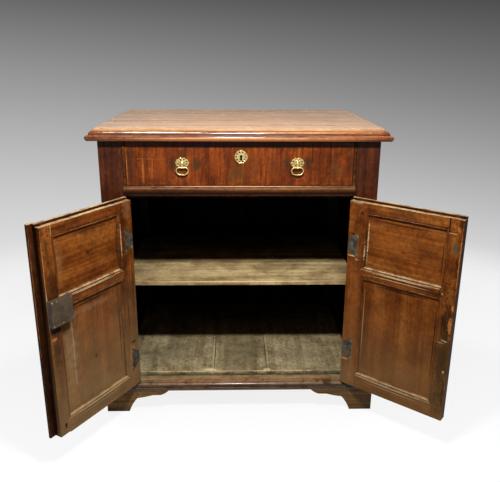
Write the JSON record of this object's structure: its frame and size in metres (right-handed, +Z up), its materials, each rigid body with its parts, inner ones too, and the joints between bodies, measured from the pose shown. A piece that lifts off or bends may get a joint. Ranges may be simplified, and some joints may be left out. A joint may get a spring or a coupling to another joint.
{
  "type": "low oak cupboard with a drawer and two panelled doors",
  "caption": "Low joined oak cupboard on bracket feet, with a drawer over a pair of panelled doors that stand open, a shelf inside, iron hinges and lock, and brass ring handles.",
  "frame": {"origin": "on the floor, at the middle of the bounding box of the whole with both doors standing open", "axes": "+X to the right seen from the front, +Y from the front to the back, +Z up"},
  "size_m": [1.05, 0.8452, 0.85],
  "materials": {
    "oak_frame": "old oak, stained red-brown, waxed and worn on the edges",
    "oak_panel": "old oak panel, waxed, with visible grain",
    "oak_moulding": "old oak moulding, waxed, rubbed bright on its edges",
    "oak_top": "old oak boards, polished, faded and scratched",
    "oak_inside": "dry, dusty, unfinished oak",
    "iron": "hand-forged iron, dark, with traces of rust",
    "brass": "old cast brass, dull in the hollows and bright on the edges"
  },
  "bodies": {
    "carcass": {"front_post_left": "oak_frame", "front_post_right": "oak_frame", "back_posts": "oak_frame", "top_rail": "oak_frame", "drawer_rail": "oak_frame", "bottom_rail": "oak_frame", "back_rails": "oak_inside", "side_rails_right": "oak_frame", "side_rails_left": "oak_frame", "side_panels_right": "oak_panel", "side_panels_left": "oak_panel", "carcass_pegs": "oak_frame", "post_hinge_leaves": "iron", "hinge_pins": "iron", "door_stop": "oak_inside", "drawer_runners": "oak_inside", "drawer_opening_mouldings": "oak_moulding", "floor_boards": "oak_inside", "shelf": "oak_inside", "shelf_bearers": "oak_inside", "back_boards": "oak_inside", "top_boards": "oak_top", "front_feet": "oak_moulding", "back_feet": "oak_moulding", "foot_blocks": "oak_inside", "top_moulding": "oak_moulding", "base_moulding": "oak_moulding"},
    "drawer": {"drawer_front": "oak_frame", "drawer_side_left": "oak_inside", "drawer_side_right": "oak_inside", "drawer_back": "oak_inside", "drawer_bottom_boards": "oak_inside", "drawer_escutcheon": "brass", "handle_backplates": "brass", "handle_posts": "brass", "drawer_lock_case": "iron"},
    "left_door": {"left_door_hinge_stile": "oak_frame", "left_door_meeting_stile": "oak_frame", "left_door_top_rail": "oak_frame", "left_door_middle_rail": "oak_frame", "left_door_bottom_rail": "oak_frame", "left_door_upper_panel": "oak_panel", "left_door_lower_panel": "oak_panel", "left_door_pegs": "oak_frame", "left_door_hinge_leaves": "iron", "left_door_lock_case": "iron", "left_door_escutcheon": "brass"},
    "right_door": {"right_door_hinge_stile": "oak_frame", "right_door_meeting_stile": "oak_frame", "right_door_top_rail": "oak_frame", "right_door_middle_rail": "oak_frame", "right_door_bottom_rail": "oak_frame", "right_door_upper_panel": "oak_panel", "right_door_lower_panel": "oak_panel", "right_door_pegs": "oak_frame", "right_door_hinge_leaves": "iron"},
    "bail_left": {"bail_left": "brass"},
    "bail_right": {"bail_right": "brass"},
    "drawer_lock_bolt": {"drawer_lock_bolt": "iron"},
    "door_lock_bolt": {"door_lock_bolt": "iron"}
  },
  "joints": [
    {"name": "drawer_slide", "type": "slide", "parent": "carcass", "child": "drawer", "axis": [0, -1, 0], "range_m": [0, 0.38]},
    {"name": "left_door_hinge", "type": "hinge", "parent": "carcass", "child": "left_door", "pos_m": [-0.34767, -0.1334, 0.096], "axis": [0, 0, -1], "range_deg": [-121, 44]},
    {"name": "right_door_hinge", "type": "hinge", "parent": "carcass", "child": "right_door", "pos_m": [0.28633, -0.1334, 0.096], "axis": [0, 0, 1], "range_deg": [-139, 26]},
    {"name": "bail_left_swing", "type": "hinge", "parent": "drawer", "child": "bail_left", "pos_m": [-0.18667, -0.14, 0.7465], "axis": [-1, 0, 0], "range_deg": [0, 90]},
    {"name": "bail_right_swing", "type": "hinge", "parent": "drawer", "child": "bail_right", "pos_m": [0.12533, -0.14, 0.7465], "axis": [-1, 0, 0], "range_deg": [0, 90]},
    {"name": "drawer_lock_bolt_slide", "type": "slide", "parent": "drawer", "child": "drawer_lock_bolt", "axis": [0, 0, 1], "range_m": [0, 0.008]},
    {"name": "door_lock_bolt_slide", "type": "slide", "parent": "left_door", "child": "door_lock_bolt", "axis": [-0.515, -0.8572, 0], "range_m": [0, 0.012]}
  ]
}
